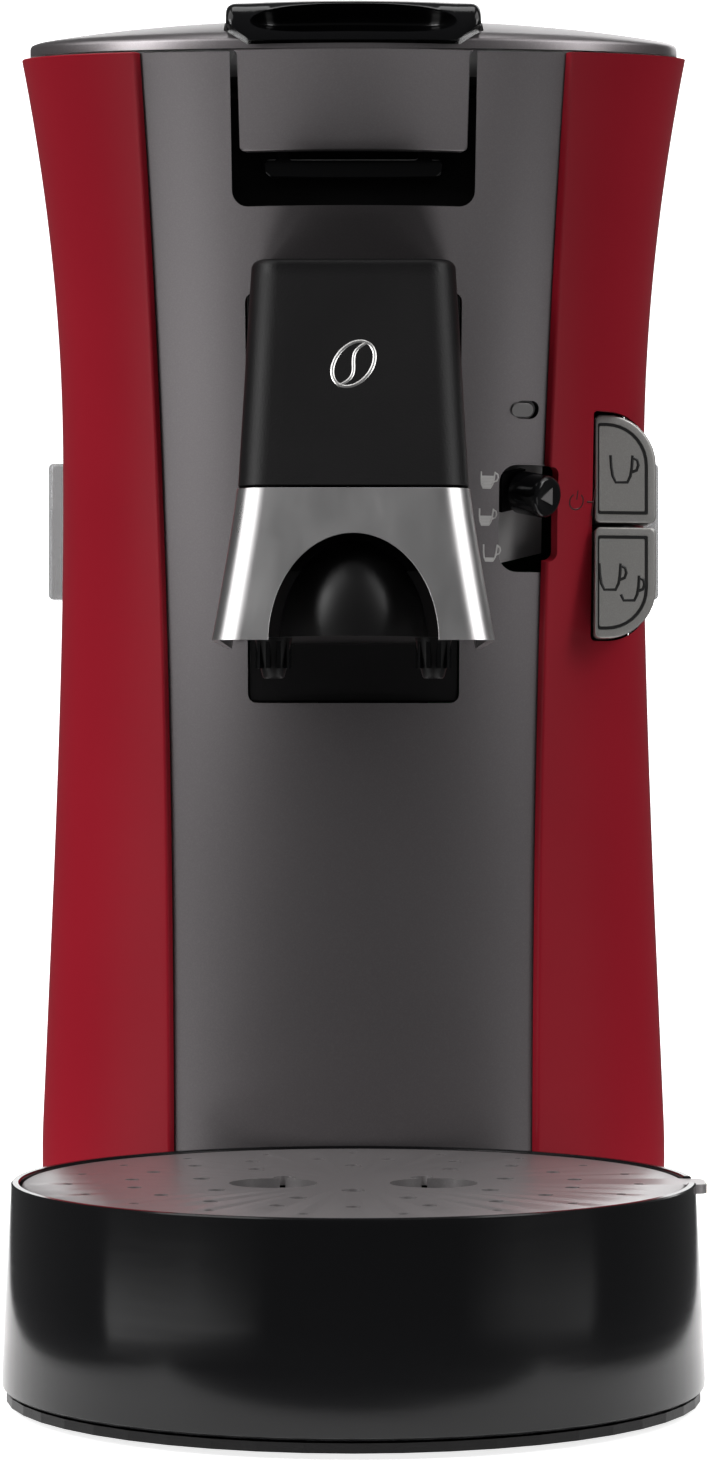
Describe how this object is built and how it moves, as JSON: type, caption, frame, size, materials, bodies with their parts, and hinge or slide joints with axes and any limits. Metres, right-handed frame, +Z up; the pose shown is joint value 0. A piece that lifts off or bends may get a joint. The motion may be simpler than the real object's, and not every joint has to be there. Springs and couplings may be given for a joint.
{
  "type": "pod coffee machine",
  "caption": "Compact coffee machine for soft pods, with a waisted body, hinged lid, pull-off spout, round drip tray and rear water tank.",
  "frame": {"origin": "on the standing surface, under the middle of the footprint", "axes": "+Z up, +X to the right seen from the front, +Y towards the back"},
  "size_m": [0.15, 0.254, 0.3015],
  "materials": {
    "red_gloss": "glossy moulded",
    "grey_satin": "satin metallic",
    "black_gloss": "glossy",
    "black_satin": "fine satin",
    "bright_metal": "brushed bright plating",
    "button_grey": "satin metallic",
    "tray_cover_grey": "satin",
    "clear_smoke": "clear smoked plastic",
    "dark_rubber": "matt",
    "steel": "plain",
    "boiler_steel": "drawn",
    "silicone_hose": "translucent silicone",
    "board_green": "board laminate",
    "lens_grey": "lens"
  },
  "bodies": {
    "housing": {"base_plate": "black_satin", "foot_front_left": "dark_rubber", "foot_front_right": "dark_rubber", "foot_rear_left": "dark_rubber", "foot_rear_right": "dark_rubber", "front_panel": "grey_satin", "side_panel_left": "red_gloss", "side_panel_right": "red_gloss", "rear_panel": "black_satin", "cable_gland": "dark_rubber", "inner_frame": "black_satin", "top_deck": "black_satin", "latch_well": "black_satin", "brew_chamber": "steel", "pod_holder": "black_satin", "coffee_outlet_pipe": "dark_rubber", "spout_dock": "black_satin", "lid_hinge_pin": "steel", "hinge_bracket_left": "black_satin", "hinge_bracket_right": "black_satin", "slider_track": "black_satin", "descale_light": "lens_grey", "one_cup_switch": "black_gloss", "two_cup_switch": "black_gloss", "button_carrier": "black_satin", "tank_seat": "dark_rubber", "boiler": "boiler_steel", "boiler_strap": "steel", "thermostat": "black_gloss", "thermal_fuse": "lens_grey", "pump": "black_satin", "pump_bracket": "dark_rubber", "tank_hose": "silicone_hose", "pump_hose": "silicone_hose", "brew_hose": "silicone_hose", "control_board": "board_green", "board_screw_left": "steel", "board_screw_right": "steel"},
    "lid": {"lid_shell": "grey_satin", "lid_inner": "black_satin", "lid_seal": "dark_rubber", "distribution_disc": "steel", "lid_hinge_barrel": "grey_satin", "lever_pin": "steel"},
    "lever": {"lever_handle": "black_gloss", "lever_latch": "black_gloss"},
    "spout": {"spout_cover_upper": "black_satin", "spout_cover_lower": "bright_metal", "spout_body": "black_gloss"},
    "tray": {"drip_tray": "black_gloss"},
    "tray_grid": {"tray_cover": "tray_cover_grey"},
    "tank": {"water_tank": "clear_smoke", "tank_valve": "dark_rubber"},
    "tank_cap": {"tank_lid": "black_satin"},
    "float": {"tank_float": "red_gloss"},
    "knob_slider": {"slider_carriage": "black_satin"},
    "knob": {"strength_knob": "black_gloss"},
    "button_one": {"one_cup_button": "button_grey"},
    "button_two": {"two_cup_button": "button_grey"}
  },
  "joints": [
    {"name": "lid_hinge", "type": "hinge", "parent": "housing", "child": "lid", "pos_m": [0, 0.0752, 0.2942], "axis": [-1, 0, 0], "range_deg": [0, 70]},
    {"name": "lever_pivot", "type": "hinge", "parent": "lid", "child": "lever", "pos_m": [0, -0.0115, 0.293], "axis": [-1, 0, 0], "range_deg": [0, 10]},
    {"name": "spout_pull", "type": "slide", "parent": "housing", "child": "spout", "axis": [0, -1, 0], "range_m": [0, 0.03]},
    {"name": "tray_slide", "type": "slide", "parent": "housing", "child": "tray", "axis": [0, -1, 0], "range_m": [0, 0.13]},
    {"name": "tray_cover_lift", "type": "slide", "parent": "tray", "child": "tray_grid", "axis": [0, 0, 1], "range_m": [0, 0.08]},
    {"name": "tank_lift", "type": "slide", "parent": "housing", "child": "tank", "axis": [0, 0, 1], "range_m": [0, 0.1]},
    {"name": "tank_lid_hinge", "type": "hinge", "parent": "tank", "child": "tank_cap", "pos_m": [0, 0.1255, 0.2845], "axis": [-1, 0, 0], "range_deg": [0, 80]},
    {"name": "float_rise", "type": "slide", "parent": "tank", "child": "float", "axis": [0, 0, 1], "range_m": [0, 0.2]},
    {"name": "strength_slide", "type": "slide", "parent": "housing", "child": "knob_slider", "axis": [0, 0.2607, -0.9654], "range_m": [0, 0.01]},
    {"name": "knob_push", "type": "slide", "parent": "knob_slider", "child": "knob", "axis": [-0.7194, 0.6706, 0.181], "range_m": [0, 0.002], "stiffness_N_per_m": 300},
    {"name": "one_cup_press", "type": "slide", "parent": "housing", "child": "button_one", "axis": [0, 1, 0], "range_m": [0, 0.0015], "stiffness_N_per_m": 400},
    {"name": "two_cup_press", "type": "slide", "parent": "housing", "child": "button_two", "axis": [0, 1, 0], "range_m": [0, 0.0015], "stiffness_N_per_m": 400}
  ]
}
